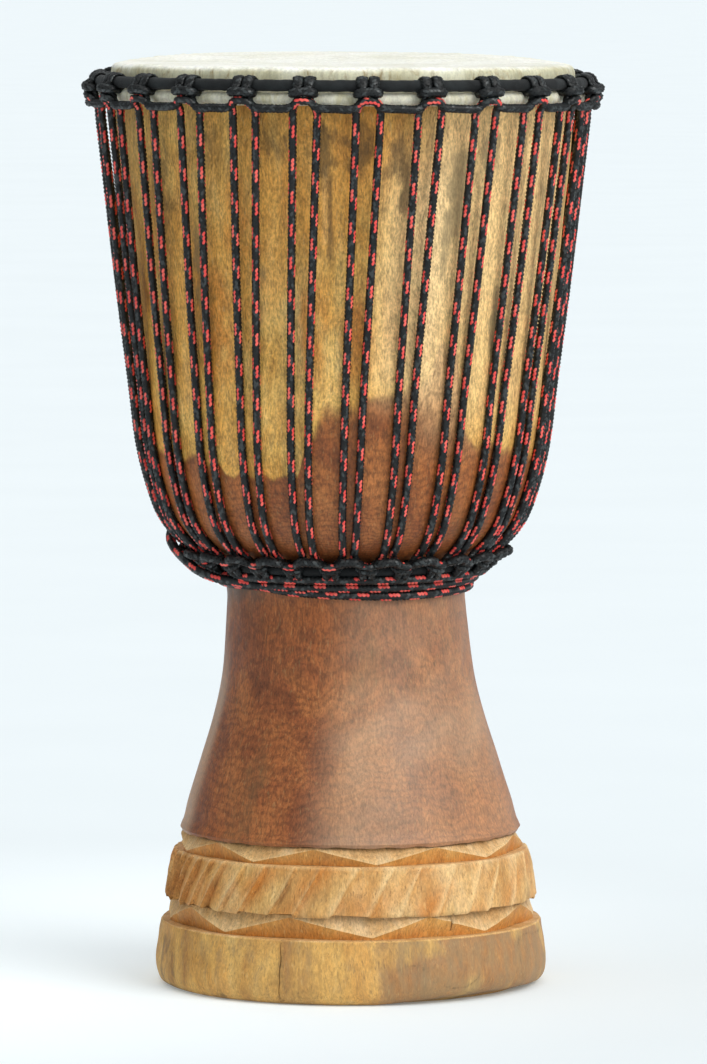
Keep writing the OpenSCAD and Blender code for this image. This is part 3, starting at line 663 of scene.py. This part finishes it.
        # Painted reflection along the stem's left edge, and painted sheen over its front right.
        edge_reflection = smooth((-66 - q) / 10) * smooth((105 + q) / 12) * smooth((240 - z) / 60)
        sheen = smooth((q + 24 - 0.06 * (z - 100)) / 26) * smooth((96 - q) / 20) * smooth((290 - z) / 30) * (0.5 + 0.5 * smooth((220 - z) / 60)) * (1 - 0.45 * smooth((q + 10) / 50) * smooth((180 - z) / 50))
        painted_sheen = np.maximum(0.46 * sheen * (0.95 + 0.1 * ripple(high, z, 67, 20, 24)), 0.45 * edge_reflection)
        # Beside the narrow gouge, painted highlight: a light band near 17 degrees and the right side of the bowl.
        gouge_and_highlight = gouge_and_highlight + 0.58 * smooth(1.4 - np.abs(q - 17 - 0.02 * (z - 420)) / 9.5) * smooth((z - 372) / 40) * smooth((575 - z) / 70) + (0.46 + 0.2 * smooth((z - 400) / 80)) * smooth((q - 12) / 20) * smooth((z - 340) / 60) * smooth((96 - q) / 30)
        row(
            high, rr, zz, st, 0.0, np.maximum(masks["smudge_and_shade"], left_shade), masks["ochre"] * (1 - 0.7 * oiled),
            dull=masks["dull"], painted_highlight=gouge_and_highlight + 0 * high, soft=0.0, pale=painted_sheen,
        )

    # Inside, with the marks of the adze, and back to the sole
    for r, z in profile(HOLLOW, 6.5):
        cell = high + 11 * np.floor(z / 23)
        mark = np.abs(np.cos(cell / 11 * math.pi)) * np.abs(np.cos(z / 23 * math.pi))
        row(high, r - (0.9 * mark + 0.6 * ripple(high, z, 71, 12, 60)) * smooth((592 - z) / 30) * smooth((z - 4) / 20), z, 0.3, 0.35, 0.12 * smooth((20 - z) / 20), 0.1, "in")
    row(low, 104, 0.3 + 0.12 * ripple(low, 0, 72, 30, 900), 0.2, 0.25, 0.35, 0.0, "in")
    row(low, 112, 0.3 + 0.12 * ripple(low, 0, 73, 30, 900), 0.2, 0.25, 0.4, 0.0, "in")

    grid = np.array([one for _, one in rows])  # rows, values, columns
    kinds = np.array([k for k, _ in rows])
    zmid = grid[:, 2].mean(1)

    def crack(phi0, z0, z1, wide, deep, sway, seed):
        """A check in the wood: three columns are drawn together along it, and the middle one sinks."""
        pick = np.where((kinds == "out") & (zmid > z0) & (zmid < z1))[0]
        rr = np.random.default_rng(seed)
        a, b = rr.uniform(0, 6.28, 2)
        for i in pick:
            z = zmid[i]
            line = phi0 + sway * (0.6 * math.sin(z / 5.1 + a) + 0.5 * math.sin(z / 2.3 + b)) * 0.5
            if "c" not in crack.__dict__ or crack.at != (phi0, z0):
                crack.c = int(np.argmin(np.abs(around(grid[i, 0], phi0))))
                crack.at = (phi0, z0)
            c = crack.c
            taper = min(1, (z - z0) / 5, (z1 - z) / 5)
            side = wide / grid[i, 1, c] / D2R * max(taper, 0.15)
            grid[i, 0, c] = line
            grid[i, 0, (c - 1) % n] = line - side
            grid[i, 0, (c + 1) % n] = line + side
            grid[i, 1, c] -= deep * taper
            grid[i, 5, c] = 1.0
            for d in (-1, 1):
                grid[i, 5, (c + d) % n] = max(grid[i, 5, (c + d) % n], 0.45)

    crack(-21.0, 3.0, 40.0, 0.3, 1.1, 0.5, 81)
    crack(33.2, 44.0, 57.0, 0.4, 1.2, 0.3, 82)
    crack(151.0, 2.0, 40.0, 0.4, 1.5, 0.6, 83)

    v = polar(grid[:, 0], grid[:, 1], grid[:, 2])
    colour = {k: np.clip(grid[:, i : i + 4], 0, 1).transpose(0, 2, 1).reshape(-1, 4) for k, i in (("mask", 3), ("tone", 7))}
    f = grid_faces(len(rows), n)
    ob = mesh_object("shell_carved", v.reshape(-1, 3), [f], [WOOD_MAT], sharp=24, colour=colour)
    return place(ob, "shell")


# ---------------------------------------------------------------- head
def build_skin():
    n = 720
    phi = np.arange(n) * 360 / n
    k = (around(phi, KNOT) / PITCH) % 1.0
    between = np.sin(k * math.pi) ** 0.7  # 0 at a knot, 1 half way
    r0, z0 = 149.6, 601.0
    hr, hz = 154.8, 580.9
    rows = []
    top = [(0.02, 0.0), (20, 0.0), (45, 0.0), (70, -0.02), (95, -0.04), (115, -0.02), (130, 0.0), (138, 0.0), (143.5, -0.05)]
    for r, dz in top:
        rows.append((r + 0 * phi, z0 + dz + 0.12 * ripple(phi, r, 101, 6, 90) * min(1, r / 60)))
    for r, dz in [(145.8, -0.2), (147.4, -0.55), (148.8, -1.2), (149.9, -2.3), (150.5, -4.0), (150.7, -6.5), (150.7, -10), (150.8, -13), (150.9, -15.5)]:
        pull = 0.35 * (between - 0.5) * smooth((-dz - 3) / 8)
        hair = (0.22 * ripple(phi, 0, 105, 170, 900) + 0.15 * ripple(phi, 0, 106, 60, 900)) * smooth((3.5 + dz) / 3)
        rows.append((r + pull + 0.3 * ripple(phi, dz, 102, 60, 16) * smooth(-dz / 4), z0 + dz + hair))
    lump = 0.5 * (between - 0.4) + 0.3 * ripple(phi, 0, 103, 70, 900)
    for a in np.linspace(150, -215, 22):
        rr = 4.2 + lump * (0.5 + 0.5 * math.cos((a + 10) * D2R)) + 0.16 * ripple(phi, a, 104, 70, 120)
        rows.append((hr + rr * math.cos(a * D2R), hz + rr * math.sin(a * D2R)))
    for r, z in [(149.75, 583.5), (149.75, 590), (149.7, 594.4), (149.2, 597.9), (147.0, 599.6), (142.5, 599.95), (120, 599.95), (70, 599.95), (0.02, 599.95)]:
        rows.append((r + 0 * phi, z + 0 * phi))
    v = np.array([polar(phi, r, z) for r, z in rows])
    f = grid_faces(len(rows), n, wrap_rows=False, flip=True)
    last = (len(rows) - 1) * n
    caps = np.array([np.arange(n)]), np.array([np.arange(last, last + n)[::-1]])
    ob = mesh_object("skin_stretched", v.reshape(-1, 3), [f, caps[0], caps[1]], [SKIN_MAT], sharp=60)
    place(ob, "skin_head")


def build_ring(name, node, r, z, rod, weld):
    """A steel ring bent from rod. The bead of its weld at the back is scaled to nothing, so no weld shows."""
    n, m = 360, 20
    a = np.arange(n) * 360 / n
    bead = 0.35 * np.exp(-((around(a, weld) / 1.6) ** 2))
    t = np.arange(m) * 2 * math.pi / m
    rad = rod - 0.05 + bead * 0 + 0.02 * ripple(a, 0, 7, 60, 900)
    rr = r + (rad[:, None]) * np.cos(t)[None, :]
    zz = z + (rad[:, None]) * np.sin(t)[None, :]
    v = polar(a[:, None], rr, zz)
    ob = mesh_object(name, v.reshape(-1, 3), [grid_faces(n, m, flip=True)], [STEEL_MAT])
    return place(ob, node)


def build_wrap(name, node, r, z, turns, seed):
    """Cloth strip wound on a ring: the edge of each turn lies on the one before."""
    n, m = turns * 14, 24
    a = np.arange(n) * 360 / n
    t = np.arange(m) * 360 / m
    saw = (turns * a[:, None] / 360 + t[None, :] / 360 + 0.25 * ripple(a[:, None], t[None, :], seed, 40, 400)) % 1.0
    lift = 0.34 * smooth(saw / 0.16) * (1 - 0.75 * saw) + 0.1 * ripple(a[:, None], t[None, :], seed + 1, 120, 90)
    rad = 3.55 + lift
    v = polar(a[:, None], r + rad * np.cos(t * D2R)[None, :], z + rad * np.sin(t * D2R)[None, :])
    ob = mesh_object(name, v.reshape(-1, 3), [grid_faces(n, m, flip=True)], [CLOTH_MAT], sharp=50)
    return place(ob, node)


# ---------------------------------------------------------------- rope
class Rope:
    """A braided rope along control points [phi, r, z, radius]."""

    def __init__(self, control, closed, step=0.5, twist=0.0, seed=1):
        c = np.asarray(control, float)
        xyz = np.hstack([polar(c[:, 0], c[:, 1], c[:, 2]), c[:, 3:4]])
        self.p, self.long = spline(xyz, closed, step)
        self.closed = closed
        self.r = self.p[:, 3]
        self.p = self.p[:, :3]
        n = len(self.p)
        self.ds = self.long / (n if closed else n - 1)
        if closed:
            t = np.roll(self.p, -1, 0) - np.roll(self.p, 1, 0)
        else:
            t = np.gradient(self.p, axis=0)
        t /= np.linalg.norm(t, axis=1)[:, None]
        side = np.empty_like(t)
        a = self.p[0] * [1, 1, 0]
        for i in range(n):
            a = a - t[i] * (a @ t[i])
            a /= math.sqrt(a @ a)
            side[i] = a
        up = np.cross(t, side)
        spin = np.zeros(n)
        if closed:
            end = side[-1] - t[0] * (side[-1] @ t[0])
            gap = math.atan2(end @ up[0], end @ side[0])
            spin -= gap * np.arange(n) / n
        r = np.random.default_rng(seed)
        at = np.linspace(0, n, max(3, int(self.long / 300)) + 1)
        free = r.uniform(-1, 1, len(at)) * twist
        if closed:
            free[-1] = free[0]
        spin += np.interp(np.arange(n), at, free)
        self.spin, self.t = spin, t
        c_, s_ = np.cos(spin)[:, None], np.sin(spin)[:, None]
        self.n, self.b = c_ * side + s_ * up, -s_ * side + c_ * up

    def at(self, s):
        """Centre, two normals and radius at lengths s."""
        x = s / self.ds
        n = len(self.p)
        i = np.floor(x).astype(int)
        f = (x - i)[..., None]
        if self.closed:
            i, j = i % n, (i + 1) % n
        else:
            i = np.clip(i, 0, n - 2)
            j = i + 1
            f = np.clip((x - i)[..., None], 0, 1)
        lerp = lambda q: q[i] * (1 - f) + q[j] * f
        return lerp(self.p), lerp(self.n), lerp(self.b), self.r[i] * (1 - f[..., 0]) + self.r[j] * f[..., 0]

    def core(self, every, sides, less):
        """Vertices and faces of the plain tube under the braid."""
        count = max(3, int(round(self.long / every)))
        s = np.arange(count) * self.long / count if self.closed else np.linspace(0, self.long, count + 1)
        p, n, b, r = self.at(s)
        a = np.arange(sides) * 2 * math.pi / sides
        v = p[:, None] + (r - less)[:, None, None] * (np.cos(a)[None, :, None] * n[:, None] + np.sin(a)[None, :, None] * b[:, None])
        f = [grid_faces(len(s), sides, wrap_rows=self.closed)]
        if not self.closed:
            last = (len(s) - 1) * sides
            f += [np.array([np.arange(sides)[::-1]]), np.array([np.arange(last, last + sides)])]
        return v.reshape(-1, 3), f

    def braid(self, cols, gap, long, wide, proud, slant, red=None, seed=3, turn=0.0):
        """The floats of the braid: closed pillows in columns that lean one way and the other in turn.
        red(k, j) says which floats are red, for float k of column j. Returns vertices, faces, material numbers, and lengths."""
        count = int(self.long / gap)
        gap = self.long / count
        r = np.random.default_rng(seed)
        k, j = np.meshgrid(np.arange(count), np.arange(cols), indexing="ij")
        k, j = k.ravel(), j.ravel()
        s0 = (k + 0.5 * (j % 2) + 0.25) * gap
        a0 = 2 * math.pi * j / cols + turn * D2R
        way = np.where(j % 2 == 0, 1.0, -1.0)
        if not self.closed:
            keep = (s0 > long) & (s0 < self.long - long)
            k, j, s0, a0, way = (x[keep] for x in (k, j, s0, a0, way))
        la = np.array([-1.0, -0.5, 0.0, 0.5, 1.0])
        wb = np.array([-1.0, 0.0, 1.0])
        A, W = np.meshgrid(la, wb, indexing="ij")
        top = (1 - A**2) ** 0.5 * np.where(W == 0, 1.0, 0.25)
        H = proud * top - 0.42 * (1 - np.where(W == 0, np.sqrt(1 - 0.9 * A**2), 0.12))
        A, W, H = A.ravel() * long / 2, W.ravel() * wide / 2 * (1 - 0.45 * A.ravel() ** 2), H.ravel()
        # One vertex underneath closes the pillow
        A, W, H = np.append(A, 0), np.append(W, 0), np.append(H, -0.9)
        cs, sn = math.cos(slant * D2R), math.sin(slant * D2R)
        size = r.uniform(0.94, 1.06, len(k))[:, None]
        s = s0[:, None] + (A * cs)[None, :] * size - way[:, None] * (W * sn)[None, :] + r.uniform(-0.08, 0.08, len(k))[:, None]
        p, nn, bb, rad = self.at(s)
        arc = way[:, None] * (A * sn)[None, :] * size + (W * cs)[None, :]
        # Widths follow the rope's own radius
        base = rad[:, :1]
        ref = cols * wide * 0.94 / (2 * math.pi)
        ang = a0[:, None] + arc / ref
        out = rad + H[None, :] * np.minimum(1, base / ref) + r.uniform(-0.06, 0.06, len(k))[:, None]
        v = p + out[..., None] * (np.cos(ang)[..., None] * nn + np.sin(ang)[..., None] * bb)
        quads = []
        for i in range(4):
            for q in range(2):
                a = i * 3 + q
                quads.append([a, a + 1, a + 4, a + 3])
        rim = [0, 3, 6, 9, 12, 13, 14, 11, 8, 5, 2, 1]
        tris = [[rim[(i + 1) % 12], rim[i], 15] for i in range(12)]
        quads, tris = np.array(quads), np.array(tris)
        base_i = (np.arange(len(k)) * 16)[:, None, None]
        shade = r.choice([0, 1, 1, 2], len(k))
        if red is not None:
            is_red = red(k, j)
            shade = np.where(is_red, 3 + (r.random(len(k)) < 0.5), shade)
        return v, quads[None] + base_i, tris[None] + base_i, shade, s0


def braid_pieces(rope, name, node, parts, cols, gap, long, wide, proud, slant, red=None, less=0.45, every=2.4, sides=8, seed=3, shape=None, turn=0.0):
    """The rope's core, and its braid cut into several meshes by length."""
    v, f = rope.core(every, sides, less)
    v = shape(v) if shape else v
    place(mesh_object(name + "_core", v, f, [CORE]), node)
    v, quads, tris, shade, s0 = rope.braid(cols, gap, long, wide, proud, slant, red, seed, turn)
    v = shape(v.reshape(-1, 3)).reshape(v.shape) if shape else v
    mats = BLACKS + REDS if red is not None else BLACKS
    cut = np.minimum((s0 / rope.long * parts).astype(int), parts - 1)
    for i in range(parts):
        pick = np.where(cut == i)[0]
        q = (quads[pick] - (pick * 16)[:, None, None] + (np.arange(len(pick)) * 16)[:, None, None]).reshape(-1, 4)
        t = (tris[pick] - (pick * 16)[:, None, None] + (np.arange(len(pick)) * 16)[:, None, None]).reshape(-1, 3)
        index = np.concatenate([np.repeat(shade[pick], 8), np.repeat(shade[pick], 12)])
        label = f"{name}_braid_{i + 1:02d}" if parts > 1 else f"{name}_braid"
        place(mesh_object(label, v[pick].reshape(-1, 3), [q, t], mats, index), node)


CROWN_HALF = [
    (-20, 5.4, -14.4, 2.25), (-11.6, 5.4, -14.4, 2.25), (-7.9, 4.9, -13.6, 2.2), (-4.9, 3.4, -10.2, 1.9), (-3.7, 4.2, -5.0, 1.8),
    (-3.6, 6.3, 0.4, 2.3), (-3.7, 4.4, 4.6, 2.3), (-3.7, -0.4, 6.3, 2.3), (-3.9, -5, 4.2, 2.2), (-4.4, -6.4, -0.6, 2),
    (-5.4, -4, -5, 1.6), (-6.4, 0.4, -5.6, 1.6), (-7.2, 5.2, -4.8, 2.1), (-5.2, 7.9, -4.0, 2.5),
]
BASE_HALF = [
    (-10.9, 18, 6.8, 2.6), (-7.3, 17.4, 6.3, 2.5), (-4.3, 12.8, 4.6, 2.2), (-2.7, 7.2, 2.4, 2.2), (-2.6, 6.3, -1.2, 2.2),
    (-2.8, 3.2, -4.2, 2.0), (-3, -2.4, -4.6, 1.6), (-3.4, -5.4, -0.8, 1.4), (-4.4, -3.2, 4.5, 1.4), (-5, 1.4, 5.2, 1.4),
    (-5.4, 6.4, 2.8, 1.7), (-3.2, 8.8, 0.2, 2.0),
]
STRAND = [
    (0, 159.8, 572.6), (0.02, 158.9, 565), (0.2, 152.9, 514), (0.45, 145, 448), (0.66, 137.9, 394), (0.78, 132.6, 352),
    (0.86, 126.2, 326), (0.92, 118.6, 306), (0.97, 109.4, 293.6), (1, 101.8, 286.8),
]


def knots(half, mid, r, z, phi0, fat, thick, seed):
    """Control points of a loop rope: half a knot and its mirror, 25 times, each a little different."""
    rng = np.random.default_rng(seed)
    full = list(half) + [mid] + [(-a, b, c, d) for a, b, c, d in half[:0:-1]]
    k = 180 / (math.pi * r)
    out = []
    for i in range(LOOPS):
        lean, slip = rng.uniform(-0.05, 0.05), rng.uniform(-0.5, 0.5)
        for j, (a, b, c, d) in enumerate(full):
            loose = 0.0 if j == 0 else 1.0
            jit = rng.uniform(-0.18, 0.18, 3) * loose
            a2 = a + (lean * c + slip) * loose + jit[0]
            out.append((phi0 + i * PITCH + a2 * k, r + b + jit[1], z + c + lean * a * loose * 0.6 + jit[2], min(d * fat, thick)))
    return out


def lacing_control():
    rng = np.random.default_rng(17)
    gt, gb, r = 2.78, 2.15, 2.42
    out = []
    mid = PITCH / 2 + SKEW
    shift = rng.uniform(-0.22, 0.22, LOOPS)
    for i in range(LOOPS):
        a0 = KNOT + i * PITCH
        bow = rng.uniform(-0.3, 0.3, 2)
        c = [(0, 167.2, 580.1), (1.1, 166.9, 579.9), (2.15, 164.4, 577.6)]
        for k, (s, rr, z) in enumerate(STRAND):
            wave = bow[0] * math.sin(s * math.pi)
            c.append((SKEW * s + gt + (gb - gt) * s + shift[i] * s + wave, rr, z))
        c += [(mid - 3.4 + shift[i], 99.6, 283.2), (mid - 1.5 + shift[i], 101.6, 280.6), (mid + 1.5 + shift[i], 101.6, 280.6), (mid + 3.4 + shift[i], 99.6, 283.2)]
        for s, rr, z in STRAND[::-1]:
            wave = bow[1] * math.sin(s * math.pi)
            c.append((PITCH + SKEW * s - gt - (gb - gt) * s + shift[i] * s + wave, rr, z))
        c += [(PITCH - 2.15, 164.4, 577.6), (PITCH - 1.1, 166.9, 579.9)]
        out += [(a0 + p, rr, z, r) for p, rr, z in c]
    return out


SPARE = [
    (-222, 104, 304), (-212, 110.5, 302.5), (-200, 113.8, 299.5), (-190, 113.8, 295.5), (-180, 113.4, 291), (-172, 111.8, 286),
    (-164, 107.4, 279), (-157, 103.4, 273.4), (-150, 98, 269.6), (-141, 90, 267.4), (-131, 84, 265.4), (-118, 81.4, 262.8),
    (-104, 80.9, 261.6), (-88, 80.8, 260.6), (-65, 80.8, 259.7), (-40, 80.8, 260.2), (-10, 80.9, 261.2), (30, 81, 261.4),
    (75, 81.2, 261.9), (120, 81.6, 262.8), (165, 82.2, 263.8), (210, 82.8, 265), (240, 83, 265.6), (270, 83.1, 265.6),
    (300, 83.3, 265.5), (330, 83.5, 266.2), (360, 84, 266.9), (400, 84.6, 267.4), (445, 85.4, 268), (490, 86.6, 269),
    (530, 88.2, 270.1), (570, 89.2, 271), (600, 89.6, 271.2), (630, 89.8, 271.1), (660, 90, 271), (690, 90.2, 271.4),
    (715, 90.6, 271.8), (740, 91, 272), (770, 91.2, 272.1),
]


def squash(r0, z0, phi0, rod, low, much, mid, half):
    """Flattens the loop rope where it is pulled over its ring, and spreads it sideways till its two lobes touch."""

    def act(v):
        rho, phi = np.hypot(v[:, 0], v[:, 1]), np.arctan2(v[:, 0], -v[:, 1]) / D2R
        dr, dz = rho - r0, v[:, 2] - z0
        d = np.hypot(dr, dz)
        t = smooth((dz - low) / 2.5) * smooth((11 - d) / 2)
        d2 = np.where(d > rod, rod + (d - rod) * (1 - much * t), d)
        rho2, z2 = r0 + dr / d * d2, z0 + dz / d * d2
        a = (phi - phi0 + PITCH / 2) % PITCH - PITCH / 2
        arc = a * D2R * r0
        wide = np.sign(arc) * np.maximum(0.15, np.abs(arc) + (np.abs(arc) - mid) * (half / 2.6 - 1) * (np.abs(arc) < 8.5))
        phi2 = phi + (wide - arc) * t / r0 / D2R
        return polar(phi2, rho2, z2)

    return act


def tracer(k, j):
    """One red yarn spirals round the rope: three floats in eight, in every other column."""
    return (j % 2 == 0) & (((k + 2 * (j // 2)) % 8) < 3)


def build_ropes():
    lacing = Rope(lacing_control(), True, 0.5, 1.2, 23)
    braid_pieces(lacing, "lacing", "lacing_rope", 10, 8, 2.62, 3.25, 2.0, 0.36, 38, tracer)
    spare = Rope([(p + 90, r, z, 3.0) for p, r, z in SPARE], False, 0.5, 0.0, 24)
    braid_pieces(spare, "spare", "spare_rope", 1, 8, 2.52, 3.0, 2.1, 0.36, 38, tracer, sides=10, turn=45.0)
    crown = Rope(knots(CROWN_HALF, (0, 8.1, -3.8, 2.5), 159.5, 589.5, KNOT, 1.14, 3.0, 31), True, 0.4)
    flat = squash(159.5, 589.5, KNOT, 3.8, -1.5, 0.52, 3.75, 3.5)
    braid_pieces(crown, "crown_loops", "crown_loop_rope", 3, 10, 2.5, 3.0, 1.6, 0.32, 38, None, every=1.6, sides=10, shape=flat)
    base = Rope(knots(BASE_HALF, (0, 9.0, -0.2, 2.0), 89.2, 277.0, KNOT + SKEW + PITCH / 2, 1.18, 2.9, 32), True, 0.4)
    braid_pieces(base, "bottom_loops", "bottom_loop_rope", 2, 8, 2.5, 2.8, 1.6, 0.3, 38, None, every=1.4, sides=10)
    print("rope lengths, mm:", [round(x.long) for x in (lacing, spare, crown, base)])


build_shell()
build_skin()
build_ring("flesh_hoop_steel", "flesh_hoop", 154.8, 580, 3.0, 170)
build_ring("crown_ring_steel", "crown_ring", 159.5, 589.5, 3.0, 186)
build_ring("bottom_ring_steel", "bottom_ring", 89.2, 277.0, 3.0, 178)
build_wrap("crown_ring_cloth", "crown_ring_wrap", 159.5, 589.5, 84, 201)
build_wrap("bottom_ring_cloth", "bottom_ring_wrap", 89.2, 277.0, 46, 203)
build_ropes()


# ---------------------------------------------------------------- floor and light
def floor_material():
    t = Tree("pale_floor")
    co = t.node("TexCoord").outputs["Object"]
    t.put(t.b.inputs["Base Color"], t.ramp(t.noise(co, 3.0, 2.0), (0.3, (0.765, 0.822, 0.848)), (0.7, (0.78, 0.837, 0.863))))
    t.b.inputs["Roughness"].default_value = 0.9
    t.b.inputs["Specular IOR Level"].default_value = 0.1
    # Painted light: the floor glows, most left of and behind the foot, and lifts the shadow there
    near = t.node("VectorMath", Vector=co)
    near.operation = "DISTANCE"
    near.inputs[1].default_value = (-0.3, 0.12, 0.0)
    t.b.inputs["Emission Color"].default_value = (0.93, 1.0, 1.0, 1)
    t.put(t.b.inputs["Emission Strength"], t.math("MULTIPLY", t.step(near.outputs["Value"], 0.7, 0.12), 0.27))
    return t.m


def build_stage():
    n = 96
    a = np.arange(n) * 2 * math.pi / n
    v = np.array([(120 * math.cos(x), 120 * math.sin(x), 0.0) for x in a])
    me = bpy.data.meshes.new("floor")
    me.from_pydata([tuple(x) for x in v], [], [tuple(range(n))])
    me.materials.append(floor_material())
    floor = bpy.data.objects.new("floor", me)
    bpy.context.scene.collection.objects.link(floor)

    world = bpy.data.worlds.new("studio")
    bpy.context.scene.world = world
    world.use_nodes = True
    nt = world.node_tree
    nt.nodes.clear()
    out = nt.nodes.new("ShaderNodeOutputWorld")
    seen, light, mix = nt.nodes.new("ShaderNodeBackground"), nt.nodes.new("ShaderNodeBackground"), nt.nodes.new("ShaderNodeMixShader")
    path, co = nt.nodes.new("ShaderNodeLightPath"), nt.nodes.new("ShaderNodeTexCoord")
    dot = nt.nodes.new("ShaderNodeVectorMath")
    dot.operation = "DOT_PRODUCT"
    dot.inputs[1].default_value = (0.62, -0.35, 0.25)
    span = nt.nodes.new("ShaderNodeMapRange")
    span.inputs["From Min"].default_value = -0.75
    span.inputs["From Max"].default_value = 0.75
    span.inputs["To Min"].default_value = 0.36
    span.inputs["To Max"].default_value = 0.82
    seen.inputs["Color"].default_value = (0.83, 0.93, 0.95, 1)
    light.inputs["Color"].default_value = (0.95, 0.98, 1.0, 1)
    nt.links.new(co.outputs["Generated"], dot.inputs[0])
    nt.links.new(dot.outputs["Value"], span.inputs["Value"])
    nt.links.new(span.outputs[0], light.inputs["Strength"])
    nt.links.new(path.outputs["Is Camera Ray"], mix.inputs[0])
    nt.links.new(light.outputs[0], mix.inputs[1])
    nt.links.new(seen.outputs[0], mix.inputs[2])
    nt.links.new(mix.outputs[0], out.inputs["Surface"])

    def sun(name, strength, angle, direction, colour=(1, 1, 1)):
        d = bpy.data.lights.new(name, "SUN")
        d.energy, d.angle, d.color = strength, angle * D2R, colour
        o = bpy.data.objects.new(name, d)
        bpy.context.scene.collection.objects.link(o)
        x, y, z = direction
        o.rotation_euler = (math.atan2(math.hypot(x, y), z), 0, math.atan2(x, -y))
        return o

    sun("key", 1.8, 42, (0.68, -0.60, 0.66), (1.0, 0.985, 0.955))
    sun("top", 0.62, 60, (-0.15, -0.1, 1.0))


build_stage()
bpy.context.scene.view_settings.view_transform = "Standard"
bpy.context.scene.view_settings.look = "None"
